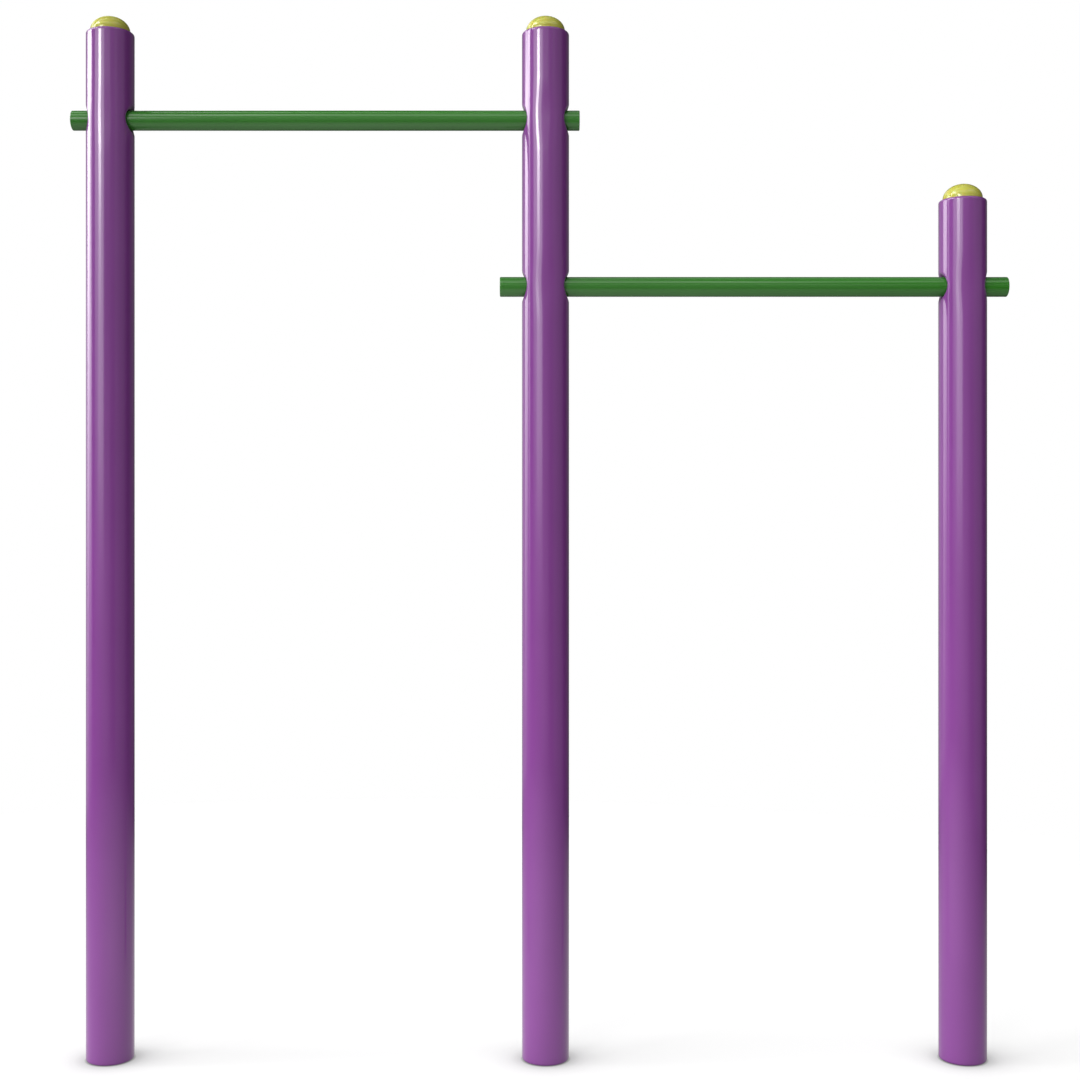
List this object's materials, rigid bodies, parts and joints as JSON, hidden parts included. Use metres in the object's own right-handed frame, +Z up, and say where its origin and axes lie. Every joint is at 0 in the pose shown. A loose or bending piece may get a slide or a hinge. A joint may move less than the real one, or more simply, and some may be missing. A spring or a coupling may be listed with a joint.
{
  "type": "outdoor pull-up bar",
  "caption": "Two-level outdoor pull-up bar: round steel posts with domed caps, and round bars that pass right through the posts' pressed-in mouths.",
  "frame": {"origin": "on the ground, under the middle of the whole frame's length and depth", "axes": "+Z up along the posts, +X along the bars from the high bay to the low bay, +Y to the back, where the locking screws are"},
  "size_m": [2.1464, 0.108, 2.3929],
  "materials": {
    "post_paint": "glossy purple powder coat",
    "bar_paint": "semi-gloss green powder coat",
    "cap_plastic": "moulded, glossy, yellow",
    "plug_plastic": "moulded, satin, dark green",
    "zinc_steel": "zinc plated"
  },
  "bodies": {
    "root": {"post_left": "post_paint", "post_middle": "post_paint", "post_right": "post_paint", "foot_plate_left": "post_paint", "foot_plate_middle": "post_paint", "foot_plate_right": "post_paint", "anchor_nut_left": "zinc_steel", "anchor_nut_middle": "zinc_steel", "anchor_nut_right": "zinc_steel", "dome_cap_left": "cap_plastic", "dome_cap_middle": "cap_plastic", "dome_cap_right": "cap_plastic", "crossbar_high": "bar_paint", "crossbar_low": "bar_paint", "bar_plug_high_left": "plug_plastic", "bar_plug_high_right": "plug_plastic", "bar_plug_low_left": "plug_plastic", "bar_plug_low_right": "plug_plastic", "lock_screw_high_left": "zinc_steel", "lock_screw_high_middle": "zinc_steel", "lock_screw_low_middle": "zinc_steel", "lock_screw_low_right": "zinc_steel", "lock_nut_high_left": "zinc_steel", "lock_nut_high_middle": "zinc_steel", "lock_nut_low_middle": "zinc_steel", "lock_nut_low_right": "zinc_steel"}
  },
  "joints": []
}
